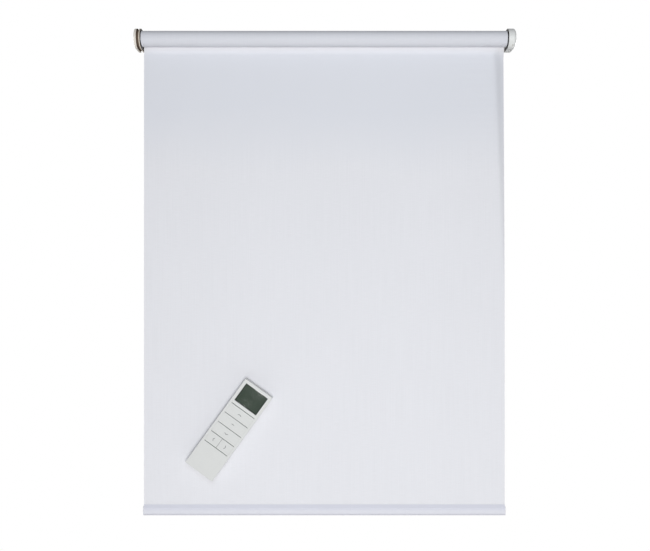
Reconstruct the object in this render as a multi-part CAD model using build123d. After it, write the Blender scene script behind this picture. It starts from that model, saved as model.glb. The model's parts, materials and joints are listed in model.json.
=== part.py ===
from build123d import *
import os
from math import cos, radians, sin

# Motorised roller blind with its wall brackets, battery motor, weighted hem and handset.
# Millimetres, +Z up. X runs along the roller, the wall is the plane y = 0, the room is on -Y.
# The origin is the centre of the four wall screw holes, level with the roller's axis.

# Fabric, roller tube and wall
FABRIC_WIDTH = 640.0
FABRIC_THICKNESS = 0.4
DROP = 841.0
WRAPS = 2
WRAP_GAP = 0.05
TUBE_DIAMETER = 25.0
TUBE_WALL = 1.0
AXIS_TO_WALL = 25.0

# Channel along the tube that grips the fabric's edge and keys the inserts
SLOT_WIDTH = 1.8
CHANNEL_WIDTH = 3.0
CHANNEL_DEPTH = 2.0
CHANNEL_WALL = 0.6
STRIP_CLEARANCE = 0.1
INSERT_CLEARANCE = 0.05
CHANNEL_LIP = 0.2

# How far a cut runs past the faces that it opens
CUT_OVERRUN = 1.0

# Reach within which an edge counts as lying at a place
EDGE_TOLERANCE = 0.01

# Wall brackets, bent from steel
BRACKET_HALF_HEIGHT = 17.5
BRACKET_RISE = 0.0
PLATE_THICKNESS = 2.0
END_GAP = 1.2
FLANGE_WIDTH = 22.0
FLANGE_CORNER = 3.0
BEND_RADIUS = 1.8
SCREW_HOLE_DIAMETER = 4.5
SCREW_FROM_PLATE = 11.0
SCREW_SPACING_Z = 16.0
PEG_DIAMETER = 3.2
PEG_SPACING_Z = 22.0
PEG_FROM_WALL = 12.0
OPENING_CLEARANCE = 0.1

# Covers over the brackets
COVER_WALL = 1.8
COVER_CLEARANCE = 0.2
WALL_CLEARANCE = 0.5
NECK_INSET = 3.0
NECK_LENGTH = 4.1
RIM_DEPTH = 4.7
RIM_ROUND = 1.5
CAP_DEPTH = 13.3
CAP_ROUND = 4.5

# Idle end: plug, sprung pin and bearing
FLANGE_THICKNESS = 0.9
PLUG_LENGTH = 32.0
PLUG_FLANGE_INSET = 0.2
PLUG_GROOVES = 3
PLUG_GROOVE_PITCH = 8.0
PLUG_GROOVE_WIDTH = 3.0
PLUG_GROOVE_DEPTH = 1.2
PIN_DIAMETER = 6.0
PIN_LENGTH = 22.0
PIN_REACH = 3.5
PIN_BORE_SPARE = 0.3
PIN_TIP = 0.8
RUNNING_CLEARANCE = 0.05
SPRING_WIRE = 0.6
SPRING_DIAMETER = 5.2
SPRING_LENGTH = 12.0
SPRING_TURNS = 6
BEARING_NECK_DIAMETER = 12.0
BEARING_FLANGE_DIAMETER = 17.0
BEARING_FLANGE_THICKNESS = 2.4

# Motor, inside the tube at the right
CASING_DIAMETER = 19.0
CASING_WALL = 0.5
CASING_LENGTH = 300.0
INNER_CLEARANCE = 0.05
HEAD_PLUG_LENGTH = 16.0
HEAD_DISC_INSET = 0.4
WIRE_WAY_DIAMETER = 4.0
JOURNAL_DIAMETER = 17.0
JOURNAL_LENGTH = 18.0
BOSS_SIDE = 9.0
BOSS_LENGTH = 4.8
BOSS_CORNER = 1.0
MOUNT_SIDE = 15.0
MOUNT_THICKNESS = 3.2
MOUNT_CORNER = 2.0
MOUNT_TAB_RIM = 0.4
MOUNT_TAB_ROOT = 3.0
MOUNT_TAB_SPREAD = 0.3
CELL_DIAMETER = 16.5
CELL_LENGTH = 50.0
CELL_COUNT = 3
CELL_ROUND = 0.6
CELL_NUB_DIAMETER = 6.4
CELL_NUB_LENGTH = 1.0
STACK_GAP = 0.4
MOTOR_BOARD_LENGTH = 40.0
MOTOR_BOARD_MARGIN = 0.3
MOTOR_RADIO_SIZE = (16.0, 12.0, 2.4)
MOTOR_RADIO_INSET = 4.0
BOARD_PLUG_SIZE = (6.0, 8.0, 3.6)
BOARD_PLUG_INSET = 2.0
BOARD_THICKNESS = 1.2
MOTOR_DIAMETER = 16.4
MOTOR_LENGTH = 32.0
MOTOR_ROUND = 1.0
MOTOR_STEP_DIAMETER = 8.0
MOTOR_STEP_LENGTH = 3.0
GEARBOX_SINK = 1.0
GEARBOX_GROOVE_PLACES = (14.0, 30.0)
GEARBOX_GROOVE_WIDTH = 1.2
GEARBOX_GROOVE_DEPTH = 0.8
SHAFT_DIAMETER = 8.0
SHAFT_SEAT = 24.0
HEX_ACROSS = 7.0
WHEEL_WIDTH = 14.0
WHEEL_GAP = 1.0
WHEEL_HUB_DIAMETER = 12.0
WHEEL_WEB = 3.0
WHEEL_SPOKES = 5
WHEEL_SPOKE_WIDTH = 1.6
WHEEL_RIM_DEPTH = 1.2
CLIP_THICKNESS = 0.8
CLIP_DIAMETER = 10.0
CLIP_GROOVE_DIAMETER = 5.4
CLIP_MOUTH = 4.3
SHAFT_TAIL = 1.6

# Charging socket, small board and setting button in the right cover
CAP_BOARD_THICKNESS = 1.2
CAP_BOARD_EDGE = 3.5
CAP_BOARD_WALL_GAP = 1.0
CAP_POST_LENGTH = 0.9
CAP_POST_DIAMETER = 4.0
CAP_POST_PLACES = (-4.0, 14.0)
SOCKET_WIDTH = 8.9
SOCKET_HEIGHT = 3.2
SOCKET_LENGTH = 6.8
SOCKET_FROM_WALL = 14.0
SOCKET_RECESS = 0.3
SOCKET_ROUND = 1.4
SOCKET_WALL = 0.35
SOCKET_FLOOR = 1.2
TONGUE_THICKNESS = 0.7
TONGUE_MARGIN = 1.2
TONGUE_RECESS = 0.5
BUTTON_LENGTH = 5.0
BUTTON_WIDTH = 1.8
BUTTON_HEIGHT = 4.0
BUTTON_PROUD = 0.3
BUTTON_TRAVEL = 0.5
BUTTON_ANGLE = -54.0
BUTTON_CLEARANCE = 0.15
BUTTON_LIP = 0.5
BUTTON_LIP_THICKNESS = 0.8
BUTTON_LIP_GAP = 0.4
SWITCH_DEPTH = 2.4

# Weighted hem
HEM_HEIGHT = 23.0
HEM_WELD = 2.5
WELD_LAP = 0.2
WELD_OPENING = 0.02
BAR_HEIGHT = 15.0
BAR_THICKNESS = 5.0
BAR_WALL = 1.0
BAR_CLEARANCE = 0.12
CAP_FLANGE = 1.2
CAP_PLUG_LENGTH = 12.0

# Handset, in its own frame: X across, Z along it to its top, -Y out of its face
HANDSET_LENGTH = 180.0
HANDSET_WIDTH = 58.0
HANDSET_DEPTH = 17.0
HANDSET_WALL = 1.8
FRONT_DEPTH = 3.2
HANDSET_CORNER = 1.6
FACE_ROUND = 0.5
PARTING_GROOVE = 0.3
BACK_ROUND = 1.4
INNER_CORNER = 1.0
HANDSET_FROM_EDGE = 153.0
HANDSET_ABOVE_HEM = 155.0
HANDSET_TILT = 36.0
HANDSET_CLEAR_OF_HEM = 2.0

# Screen
SCREEN_WIDTH = 46.5
SCREEN_HEIGHT = 36.0
SCREEN_FROM_TOP = 5.6
PANE_THICKNESS = 1.0
PANE_MARGIN = 0.5
MODULE_DEPTH = 2.1
MODULE_EDGE = 0.4

# Keys
KEY_WIDTH = 48.6
KEY_PITCH = 20.2
KEY_SLOT = 1.0
KEY_FROM_SCREEN = 6.2
KEY_SIDE_GAP = 0.15
KEY_DIVIDER = 0.5
KEY_TRAVEL = 0.6
KEY_CAP = 1.8
KEY_LIP = 0.9
KEY_LIP_THICKNESS = 0.8
KEY_LIP_GAP = 0.1
PLUNGER_DIAMETER = 6.0
MAT_THICKNESS = 0.6
MAT_PAD = 0.3
MAT_PAD_DIAMETER = 8.0
MAT_MARGIN = 1.0
MAT_SPARE = 0.1

# Board, cell, battery door and screws of the handset
HANDSET_BOARD_MARGIN = 0.4
BOARD_HOLE_GAP = 0.2
CHIP_SIZE = (9.0, 9.0, 1.4)
CHIP_Z = 10.0
RADIO_SIZE = (18.0, 12.0, 2.0)
RADIO_Z = 60.0
COIN_DIAMETER = 24.5
COIN_THICKNESS = 5.0
COIN_Z = -60.0
COIN_STEP = 0.6
COIN_STEP_INSET = 2.0
COIN_CLEARANCE = 0.25
WELL_WALL = 1.2
CONTACT_THICKNESS = 0.3
CONTACT_WIDTH = 5.0
CONTACT_GAP = 3.0
CONTACT_REACH = 5.0
CONTACT_X = 6.0
DOOR_WIDTH = 36.0
DOOR_TOP_Z = -42.0
DOOR_THICKNESS = 1.5
DOOR_GAP = 0.15
DOOR_LEDGE = 2.0
GRIP_RIDGES = 4
GRIP_FROM_TOP = 6.0
GRIP_PITCH = 2.4
GRIP_WIDTH = 1.2
GRIP_DEPTH = 0.5
SCREW_BOSS_DIAMETER = 4.2
SCREW_BOSS_FLOOR = 0.6
SCREW_BOSS_TAIL = 0.4
SCREW_BOSS_GAP = 0.1
SCREW_SHANK_DIAMETER = 1.6
SCREW_HEAD_DIAMETER = 3.4
SCREW_HEAD_HEIGHT = 1.2
SCREW_LENGTH = 9.0
SCREW_HOLE_SLACK = 0.02
SCREW_CLEARANCE = 0.15
SCREW_SINK = 0.2
SCREW_X = 20.0
SCREW_FROM_END = 8.0
CROSS_LENGTH = 2.2
CROSS_WIDTH = 0.5
CROSS_DEPTH = 0.6

# Places that follow from the sizes above
TUBE_RADIUS = TUBE_DIAMETER / 2
TUBE_BORE_RADIUS = TUBE_RADIUS - TUBE_WALL
TUBE_END = FABRIC_WIDTH / 2
AXIS_Y = -AXIS_TO_WALL
WRAP_PITCH = FABRIC_THICKNESS + WRAP_GAP
FIRST_WRAP_RADIUS = TUBE_RADIUS + WRAP_PITCH / 4 + WRAP_GAP
SHEET_FRONT_Y = AXIS_Y + FIRST_WRAP_RADIUS + (WRAPS - 0.25) * WRAP_PITCH
SHEET_MID_Y = SHEET_FRONT_Y + FABRIC_THICKNESS / 2
PLATE_IN = TUBE_END + END_GAP
PLATE_OUT = PLATE_IN + PLATE_THICKNESS
CHANNEL_LIP_RADIUS = TUBE_BORE_RADIUS - CHANNEL_LIP
CHANNEL_SEAT_RADIUS = TUBE_RADIUS - CHANNEL_DEPTH
CHANNEL_FLOOR = CHANNEL_SEAT_RADIUS - CHANNEL_WALL
HEM_BOTTOM = -DROP
HEM_TOP = HEM_BOTTOM + HEM_HEIGHT
POCKET_RADIUS = BAR_THICKNESS / 2 + BAR_CLEARANCE + FABRIC_THICKNESS
BAR_Z = HEM_BOTTOM + FABRIC_THICKNESS + BAR_CLEARANCE + BAR_HEIGHT / 2
HEAD_FACE = PLATE_IN
HEAD_DISC_START = HEAD_FACE - FLANGE_THICKNESS
CASING_RIGHT = HEAD_DISC_START - JOURNAL_LENGTH
CASING_LEFT = CASING_RIGHT - CASING_LENGTH
CASING_BORE_RADIUS = CASING_DIAMETER / 2 - CASING_WALL
WHEEL_RIGHT = CASING_LEFT - WHEEL_GAP
WHEEL_LEFT = WHEEL_RIGHT - WHEEL_WIDTH
CAP_OUT = PLATE_IN + CAP_DEPTH
CAP_BOARD_X = CAP_OUT - COVER_WALL - CAP_POST_LENGTH - CAP_BOARD_THICKNESS
SOCKET_X = CAP_BOARD_X - SOCKET_HEIGHT / 2
BRACKET_BOTTOM = BRACKET_RISE - BRACKET_HALF_HEIGHT
PIN_INNER_END = -PLATE_IN - PIN_REACH + PIN_LENGTH
GEARBOX_LEFT = CASING_LEFT + GEARBOX_SINK
HALF_LENGTH = HANDSET_LENGTH / 2
FACE_Y = -HANDSET_DEPTH / 2
BACK_Y = HANDSET_DEPTH / 2
PARTING_Y = FACE_Y + FRONT_DEPTH
INNER_FACE_Y = FACE_Y + HANDSET_WALL
SCREEN_Z = HALF_LENGTH - SCREEN_FROM_TOP - SCREEN_HEIGHT / 2
SCREEN_BOTTOM = SCREEN_Z - SCREEN_HEIGHT / 2
KEYS_TOP = SCREEN_BOTTOM - KEY_FROM_SCREEN + KEY_SLOT / 2
KEY_ROWS = 4
KEYS_BOTTOM = KEYS_TOP - KEY_ROWS * KEY_PITCH - KEY_SLOT
KEYS_MIDDLE = (KEYS_TOP + KEYS_BOTTOM) / 2
KEY_HEIGHT = KEY_PITCH - KEY_SLOT
BOARD_FRONT_Y = INNER_FACE_Y + PANE_THICKNESS + MODULE_DEPTH
BOARD_BACK_Y = BOARD_FRONT_Y + BOARD_THICKNESS
COIN_FRONT_Y = BOARD_BACK_Y + CONTACT_GAP
DOOR_IN_Y = BACK_Y - DOOR_THICKNESS
SCREW_PLACES = [
    (side * SCREW_X, z)
    for z in ((SCREEN_BOTTOM + KEYS_TOP) / 2, SCREW_FROM_END - HALF_LENGTH)
    for side in (-1, 1)
]
HANDSET_Y = SHEET_MID_Y - POCKET_RADIUS - HANDSET_CLEAR_OF_HEM - HANDSET_DEPTH / 2
HANDSET_X = HANDSET_FROM_EDGE - FABRIC_WIDTH / 2
HANDSET_Z = HANDSET_ABOVE_HEM - DROP
HANDSET_PLACE = Location((HANDSET_X, HANDSET_Y, HANDSET_Z), (0, HANDSET_TILT, 0))


# Shared shapes

def along_x(section, start, end):
    """Extrude a Y-Z section from x = start to x = end."""
    return extrude(Plane.YZ.offset(start) * section, end - start)


def along_y(section, start, end):
    """Extrude an X-Z section from y = start to y = end."""
    return extrude(Plane(origin=(0, end, 0), x_dir=(1, 0, 0), z_dir=(0, -1, 0)) * section, end - start)


def rod(radius, start, end):
    """Round bar on the roller's axis."""
    return along_x(Pos(AXIS_Y, 0) * Circle(radius), start, end)


def box_between(low, high):
    """Box from its lowest to its highest corner."""
    size = [b - a for a, b in zip(low, high)]
    middle = [(a + b) / 2 for a, b in zip(low, high)]
    return Pos(*middle) * Box(*size)


def bracket_section(inset, wall_gap):
    """Side outline of a bracket: round in front, straight back to the wall."""
    radius = BRACKET_HALF_HEIGHT - inset
    depth = AXIS_TO_WALL - wall_gap
    bar = Pos(AXIS_Y + depth / 2, BRACKET_RISE) * Rectangle(depth, 2 * radius)
    return Pos(AXIS_Y, BRACKET_RISE) * Circle(radius) + bar


def keyed_section(radius):
    """Round section with the notch that takes the tube's channel."""
    floor = CHANNEL_FLOOR - INSERT_CLEARANCE
    width = CHANNEL_WIDTH + 2 * (CHANNEL_WALL + INSERT_CLEARANCE)
    notch = Pos(AXIS_Y + (floor + TUBE_RADIUS) / 2, 0) * Rectangle(TUBE_RADIUS - floor, width)
    return Pos(AXIS_Y, 0) * Circle(radius) - notch


def peg_places():
    """Two snap pegs in the bracket's plate, as (y, z)."""
    return [(-PEG_FROM_WALL, BRACKET_RISE + side * PEG_SPACING_Z / 2) for side in (-1, 1)]


# Brackets and covers

def bracket(side, inset, opening):
    """Steel angle: a side plate and a wall flange turned in behind the roller."""
    plate_start = min(side * PLATE_IN, side * PLATE_OUT)
    height = 2 * (BRACKET_HALF_HEIGHT - inset)
    plate = along_x(bracket_section(inset, 0), plate_start, plate_start + PLATE_THICKNESS)
    hole_x = PLATE_IN - SCREW_FROM_PLATE
    flange_x = PLATE_OUT - (FLANGE_WIDTH + PLATE_THICKNESS) / 2
    flange = Pos(side * flange_x, BRACKET_RISE) * Rectangle(FLANGE_WIDTH + PLATE_THICKNESS, height)
    inner_corners = flange.vertices().sort_by(Axis.X, reverse=side < 0)[:2]
    flange = fillet(inner_corners, FLANGE_CORNER)
    for z in (-SCREW_SPACING_Z / 2, SCREW_SPACING_Z / 2):
        flange -= Pos(side * hole_x, z) * Circle(SCREW_HOLE_DIAMETER / 2)
    angle = plate + along_y(flange, -PLATE_THICKNESS, 0)
    cut = (plate_start - CUT_OVERRUN, plate_start + PLATE_THICKNESS + CUT_OVERRUN)
    angle -= along_x(opening, *cut)
    for y, z in peg_places():
        hole = Pos(y, z) * Circle(PEG_DIAMETER / 2 + INSERT_CLEARANCE)
        angle -= along_x(hole, *cut)
    upright = angle.edges().filter_by(Axis.Z)
    bend = upright.filter_by_position(Axis.Y, -EDGE_TOLERANCE, EDGE_TOLERANCE).sort_by(Axis.X)
    return fillet(bend[-1 if side > 0 else 0], BEND_RADIUS)


def left_bracket():
    return bracket(-1, 0, Pos(AXIS_Y, 0) * Circle(BEARING_NECK_DIAMETER / 2 + INSERT_CLEARANCE))


def right_bracket():
    opening = Pos(AXIS_Y, 0) * Rectangle(BOSS_SIDE + 2 * OPENING_CLEARANCE, BOSS_SIDE + 2 * OPENING_CLEARANCE)
    return bracket(1, COVER_WALL + COVER_CLEARANCE, opening)


def pegs(start, end):
    """Two round pegs along X."""
    solids = [along_x(Pos(y, z) * Circle(PEG_DIAMETER / 2), start, end) for y, z in peg_places()]
    return solids[0] + solids[1]


def left_cover():
    """Flat rounded rim on a set-back neck, hollow over the bearing."""
    rim_in = -PLATE_OUT - NECK_LENGTH
    rim_out = rim_in - RIM_DEPTH
    rim = along_x(bracket_section(0, WALL_CLEARANCE), rim_out, rim_in)
    rim = fillet(rim.faces().sort_by(Axis.X)[0].edges(), RIM_ROUND)
    neck = along_x(bracket_section(NECK_INSET, WALL_CLEARANCE), rim_in, -PLATE_OUT)
    hollow = bracket_section(NECK_INSET + COVER_WALL, WALL_CLEARANCE + COVER_WALL)
    cavity = along_x(hollow, rim_out + COVER_WALL, -PLATE_OUT)
    cover = rim + neck - cavity
    return cover + pegs(rim_out + COVER_WALL, -PLATE_IN)


def button_frame():
    """Plane on the right cover's front curve where the setting button sits, facing out."""
    outward = (0, -cos(radians(BUTTON_ANGLE)), sin(radians(BUTTON_ANGLE)))
    origin = (
        SOCKET_X,
        AXIS_Y + BRACKET_HALF_HEIGHT * outward[1],
        BRACKET_RISE + BRACKET_HALF_HEIGHT * outward[2],
    )
    return Plane(origin=origin, x_dir=(1, 0, 0), z_dir=outward)


def socket_box(gap, low, high):
    """Block of the charging socket, or the hole that it looks through, from z = low to high."""
    half_y = SOCKET_WIDTH / 2 + gap
    half_x = SOCKET_HEIGHT / 2 + gap
    return box_between(
        (SOCKET_X - half_x, -SOCKET_FROM_WALL - half_y, low),
        (SOCKET_X + half_x, -SOCKET_FROM_WALL + half_y, high),
    )


def right_cover():
    """Rounded cap over the right plate, open towards the roller."""
    cap = along_x(bracket_section(0, WALL_CLEARANCE), PLATE_IN, CAP_OUT)
    cap = fillet(front_rim(cap), CAP_ROUND)
    hollow = bracket_section(COVER_WALL, WALL_CLEARANCE + COVER_WALL)
    cavity = along_x(hollow, PLATE_IN, CAP_OUT - COVER_WALL)
    cap -= fillet(front_rim(cavity), CAP_ROUND - COVER_WALL)
    notch_z = BRACKET_HALF_HEIGHT - COVER_WALL
    cap -= box_between(
        (PLATE_IN, -WALL_CLEARANCE - COVER_WALL, BRACKET_RISE - notch_z),
        (PLATE_OUT + COVER_CLEARANCE, 0, BRACKET_RISE + notch_z),
    )
    socket_hole_top = BRACKET_BOTTOM + COVER_WALL + CUT_OVERRUN
    cap -= socket_box(COVER_CLEARANCE, BRACKET_BOTTOM - CUT_OVERRUN, socket_hole_top)
    cap -= extrude(button_frame() * button_slot(BUTTON_CLEARANCE), 2 * COVER_WALL, both=True)
    post_start = CAP_BOARD_X + CAP_BOARD_THICKNESS
    for place in CAP_POST_PLACES:
        post = Pos(AXIS_Y + place, BRACKET_RISE) * Circle(CAP_POST_DIAMETER / 2)
        cap += along_x(post, post_start, post_start + CAP_POST_LENGTH + COVER_WALL / 2)
    return cap


def front_rim(solid):
    """Edges round the end face of a bracket shape, less the one along the wall."""
    return solid.faces().sort_by(Axis.X)[-1].edges().sort_by(Axis.Y)[:-1]


def button_slot(gap):
    """Outline of the setting button, widened by a gap all round."""
    return SlotOverall(BUTTON_LENGTH + 2 * gap, BUTTON_WIDTH + 2 * gap, rotation=90)


def cap_board():
    """Small board behind the cover's end wall, with the switch that the button presses."""
    board = along_x(
        bracket_section(COVER_WALL + CAP_BOARD_EDGE, WALL_CLEARANCE + COVER_WALL + CAP_BOARD_WALL_GAP),
        CAP_BOARD_X,
        CAP_BOARD_X + CAP_BOARD_THICKNESS,
    )
    depth = BUTTON_HEIGHT - BUTTON_PROUD + BUTTON_TRAVEL + COVER_CLEARANCE
    switch = Rectangle(SOCKET_HEIGHT, SOCKET_HEIGHT)
    return board + extrude(button_frame().offset(-depth) * switch, -SWITCH_DEPTH)


def charging_socket():
    """Oval metal shell of the charging socket, open downwards, with its tongue."""
    low = BRACKET_BOTTOM + SOCKET_RECESS
    top = low + SOCKET_LENGTH
    shell = socket_box(0, low, top)
    shell = fillet(shell.edges().filter_by(Axis.Z), SOCKET_ROUND)
    bore = socket_box(-SOCKET_WALL, low, top - SOCKET_FLOOR)
    bore = fillet(bore.edges().filter_by(Axis.Z), SOCKET_ROUND - SOCKET_WALL)
    half_tongue = SOCKET_WIDTH / 2 - TONGUE_MARGIN
    tongue = box_between(
        (SOCKET_X - TONGUE_THICKNESS / 2, -SOCKET_FROM_WALL - half_tongue, low + TONGUE_RECESS),
        (SOCKET_X + TONGUE_THICKNESS / 2, -SOCKET_FROM_WALL + half_tongue, top - SOCKET_FLOOR),
    )
    return shell - bore + tongue


def setting_button():
    """Small oval button with a lip behind the cover's wall."""
    stem = extrude(button_frame().offset(BUTTON_PROUD) * button_slot(0), -BUTTON_HEIGHT)
    lip_top = button_frame().offset(-COVER_WALL - BUTTON_LIP_GAP)
    return stem + extrude(lip_top * button_slot(BUTTON_LIP), -BUTTON_LIP_THICKNESS)


# Idle end

def left_bearing():
    """Flanged bush in the left plate with a blind bore for the pin."""
    bush = rod(BEARING_NECK_DIAMETER / 2, -PLATE_OUT, -PLATE_IN)
    bush += rod(BEARING_FLANGE_DIAMETER / 2, -PLATE_OUT - BEARING_FLANGE_THICKNESS, -PLATE_OUT)
    floor = -PLATE_IN - PIN_REACH - PIN_BORE_SPARE
    return bush - rod(PIN_DIAMETER / 2 + RUNNING_CLEARANCE, floor, -PLATE_IN)


def idle_plug():
    """Keyed plug in the tube's left end, bored for the pin and its spring."""
    body = along_x(keyed_section(TUBE_BORE_RADIUS - INSERT_CLEARANCE), -TUBE_END, -TUBE_END + PLUG_LENGTH)
    groove = Pos(AXIS_Y, 0) * (Circle(TUBE_RADIUS) - Circle(TUBE_BORE_RADIUS - PLUG_GROOVE_DEPTH))
    for index in range(PLUG_GROOVES):
        start = -TUBE_END + (index + 1) * PLUG_GROOVE_PITCH
        body -= along_x(groove, start, start + PLUG_GROOVE_WIDTH)
    flange = rod(TUBE_RADIUS - PLUG_FLANGE_INSET, -TUBE_END - FLANGE_THICKNESS, -TUBE_END)
    bore_radius = PIN_DIAMETER / 2 + RUNNING_CLEARANCE
    bore = rod(bore_radius, -TUBE_END - FLANGE_THICKNESS, PIN_INNER_END + SPRING_LENGTH)
    return body + flange - bore


def idle_pin():
    """Round pin with a chamfered tip."""
    pin = rod(PIN_DIAMETER / 2, PIN_INNER_END - PIN_LENGTH, PIN_INNER_END)
    return chamfer(pin.faces().sort_by(Axis.X)[0].edges(), PIN_TIP)


def idle_spring():
    """Coil spring between the pin and the plug's blind end."""
    mean_radius = (SPRING_DIAMETER - SPRING_WIRE) / 2
    height = SPRING_LENGTH - SPRING_WIRE
    path = Helix(height / SPRING_TURNS, height, mean_radius)
    section = Plane(origin=path @ 0, z_dir=path % 0) * Circle(SPRING_WIRE / 2)
    return Pos(PIN_INNER_END + SPRING_WIRE / 2, AXIS_Y, 0) * Rot(0, 90, 0) * sweep(section, path=path)


# Roller

def roller_tube():
    """Aluminium tube with the channel formed inwards."""
    section = Circle(TUBE_RADIUS) - Circle(TUBE_BORE_RADIUS)
    section += band(CHANNEL_FLOOR, TUBE_RADIUS - TUBE_WALL / 2, CHANNEL_WIDTH + 2 * CHANNEL_WALL)
    section -= band(CHANNEL_SEAT_RADIUS, CHANNEL_LIP_RADIUS, CHANNEL_WIDTH)
    section -= band(CHANNEL_LIP_RADIUS, TUBE_RADIUS + CUT_OVERRUN, SLOT_WIDTH)
    return along_x(Pos(AXIS_Y, 0) * section, -TUBE_END, TUBE_END)


def band(inner, outer, width):
    """Rectangle across the roller's section, from one radius to another on the wall's side."""
    return Pos((inner + outer) / 2, 0) * Rectangle(outer - inner, width)


def retaining_strip():
    """Plastic strip in the channel that grips the fabric's edge."""
    head_top = CHANNEL_LIP_RADIUS - STRIP_CLEARANCE
    head = band(CHANNEL_SEAT_RADIUS + STRIP_CLEARANCE, head_top, CHANNEL_WIDTH - 2 * STRIP_CLEARANCE)
    stem = band(head_top, TUBE_RADIUS - STRIP_CLEARANCE, SLOT_WIDTH - 2 * STRIP_CLEARANCE)
    return along_x(Pos(AXIS_Y, 0) * (head + stem), -TUBE_END, TUBE_END)


def half_turns(first_radius, offset):
    """Half circles about two centres that make a steady spiral, ending at the back."""
    arcs = []
    for turn in range(2 * WRAPS):
        side = 1 if turn % 2 == 0 else -1
        centre = AXIS_Y - side * WRAP_PITCH / 4
        radius = first_radius + turn * WRAP_PITCH / 2 + offset
        start = (centre + side * radius, 0)
        end = (centre - side * radius, 0)
        arcs.append(ThreePointArc(start, (centre, -side * radius), end))
    return arcs


def wound_fabric():
    """Fabric wound on the tube; its outer turn runs off the back of the roll."""
    inner = half_turns(FIRST_WRAP_RADIUS, 0)
    outer = half_turns(FIRST_WRAP_RADIUS, FABRIC_THICKNESS)
    ends = [Line(inner[0] @ 0, outer[0] @ 0), Line(inner[-1] @ 1, outer[-1] @ 1)]
    section = make_face(Curve() + inner + outer + ends)
    return along_x(section, -FABRIC_WIDTH / 2, FABRIC_WIDTH / 2)


def blind_fabric():
    """Hanging cloth from the roll down to the hem."""
    return box_between(
        (-FABRIC_WIDTH / 2, SHEET_FRONT_Y, HEM_TOP),
        (FABRIC_WIDTH / 2, SHEET_FRONT_Y + FABRIC_THICKNESS, 0),
    )


# Motor

def motor_casing():
    """Thin steel casing, open at both ends."""
    bore = rod(CASING_BORE_RADIUS, CASING_LEFT, CASING_RIGHT)
    return rod(CASING_DIAMETER / 2, CASING_LEFT, CASING_RIGHT) - bore


def motor_head():
    """Fixed head: square boss through the plate, end disc, journal and plug."""
    boss_section = Pos(AXIS_Y, 0) * RectangleRounded(BOSS_SIDE, BOSS_SIDE, BOSS_CORNER)
    boss = along_x(boss_section, HEAD_FACE, HEAD_FACE + BOSS_LENGTH)
    disc = rod(TUBE_RADIUS - HEAD_DISC_INSET, HEAD_DISC_START, HEAD_FACE)
    journal = rod(JOURNAL_DIAMETER / 2, CASING_RIGHT, HEAD_DISC_START)
    plug = rod(CASING_BORE_RADIUS - INNER_CLEARANCE, CASING_RIGHT - HEAD_PLUG_LENGTH, CASING_RIGHT)
    wire_way = rod(WIRE_WAY_DIAMETER / 2, CASING_RIGHT - HEAD_PLUG_LENGTH, HEAD_FACE + BOSS_LENGTH)
    return boss + disc + journal + plug - wire_way


def motor_mount():
    """Plastic block on the plate's outer face with the square seat of the motor's boss."""
    seat_side = BOSS_SIDE + 2 * INSERT_CLEARANCE
    outer_end = PLATE_OUT + MOUNT_THICKNESS
    section = Pos(AXIS_Y, 0) * RectangleRounded(MOUNT_SIDE, MOUNT_SIDE, MOUNT_CORNER)
    block = along_x(section, PLATE_OUT, outer_end) + pegs(PLATE_IN, outer_end)
    root_y = AXIS_Y + MOUNT_SIDE / 2 - MOUNT_TAB_ROOT
    for y, z in peg_places():
        tip = Pos(y, z) * Circle(PEG_DIAMETER / 2 + MOUNT_TAB_RIM)
        root = Pos(root_y, z * MOUNT_TAB_SPREAD) * Circle(MOUNT_CORNER)
        block += along_x(make_hull([tip.edge(), root.edge()]), PLATE_OUT, outer_end)
    seat = Pos(AXIS_Y, 0) * RectangleRounded(seat_side, seat_side, BOSS_CORNER)
    return block - along_x(seat, PLATE_OUT, outer_end)


def crown_ring():
    """Ring that carries the tube's right end on the motor's journal."""
    start = CASING_RIGHT + STACK_GAP
    ring = along_x(keyed_section(TUBE_BORE_RADIUS - INSERT_CLEARANCE), start, TUBE_END)
    return ring - rod(JOURNAL_DIAMETER / 2 + RUNNING_CLEARANCE, start, TUBE_END)


def cell_starts():
    """Left ends of the round cells, from the head inwards."""
    first = CASING_RIGHT - HEAD_PLUG_LENGTH - STACK_GAP
    return [first - (index + 1) * CELL_LENGTH - index * STACK_GAP for index in range(CELL_COUNT)]


def battery_cells():
    """Round cells end to end, each with its raised contact."""
    cells = []
    for start in cell_starts():
        shoulder = start + CELL_LENGTH - CELL_NUB_LENGTH
        can = fillet(rod(CELL_DIAMETER / 2, start, shoulder).edges(), CELL_ROUND)
        cells.append(can + rod(CELL_NUB_DIAMETER / 2, shoulder, start + CELL_LENGTH))
    return Compound(children=cells)


def motor_board():
    """Control board on edge in the casing, with its radio module and connector."""
    right = cell_starts()[-1] - STACK_GAP
    left = right - MOTOR_BOARD_LENGTH
    half = CASING_BORE_RADIUS - MOTOR_BOARD_MARGIN
    face = BOARD_THICKNESS / 2
    board = box_between((left, AXIS_Y - half, -face), (right, AXIS_Y + half, face))
    length, width, height = MOTOR_RADIO_SIZE
    radio_middle = left + MOTOR_RADIO_INSET + length / 2
    board += Pos(radio_middle, AXIS_Y, face + height / 2) * Box(length, width, height)
    length, width, height = BOARD_PLUG_SIZE
    plug_middle = right - BOARD_PLUG_INSET - length / 2
    return board + Pos(plug_middle, AXIS_Y, -face - height / 2) * Box(length, width, height)


def drive_motor_right():
    """Right end of the motor, next to its board."""
    return cell_starts()[-1] - 2 * STACK_GAP - MOTOR_BOARD_LENGTH


def drive_motor():
    """Small motor can with its stepped end."""
    right = drive_motor_right()
    shoulder = right - MOTOR_STEP_LENGTH
    can = rod(MOTOR_DIAMETER / 2, right - MOTOR_LENGTH, shoulder)
    can = fillet(can.faces().sort_by(Axis.X)[-1].edges(), MOTOR_ROUND)
    return can + rod(MOTOR_STEP_DIAMETER / 2, shoulder, right)


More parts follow.
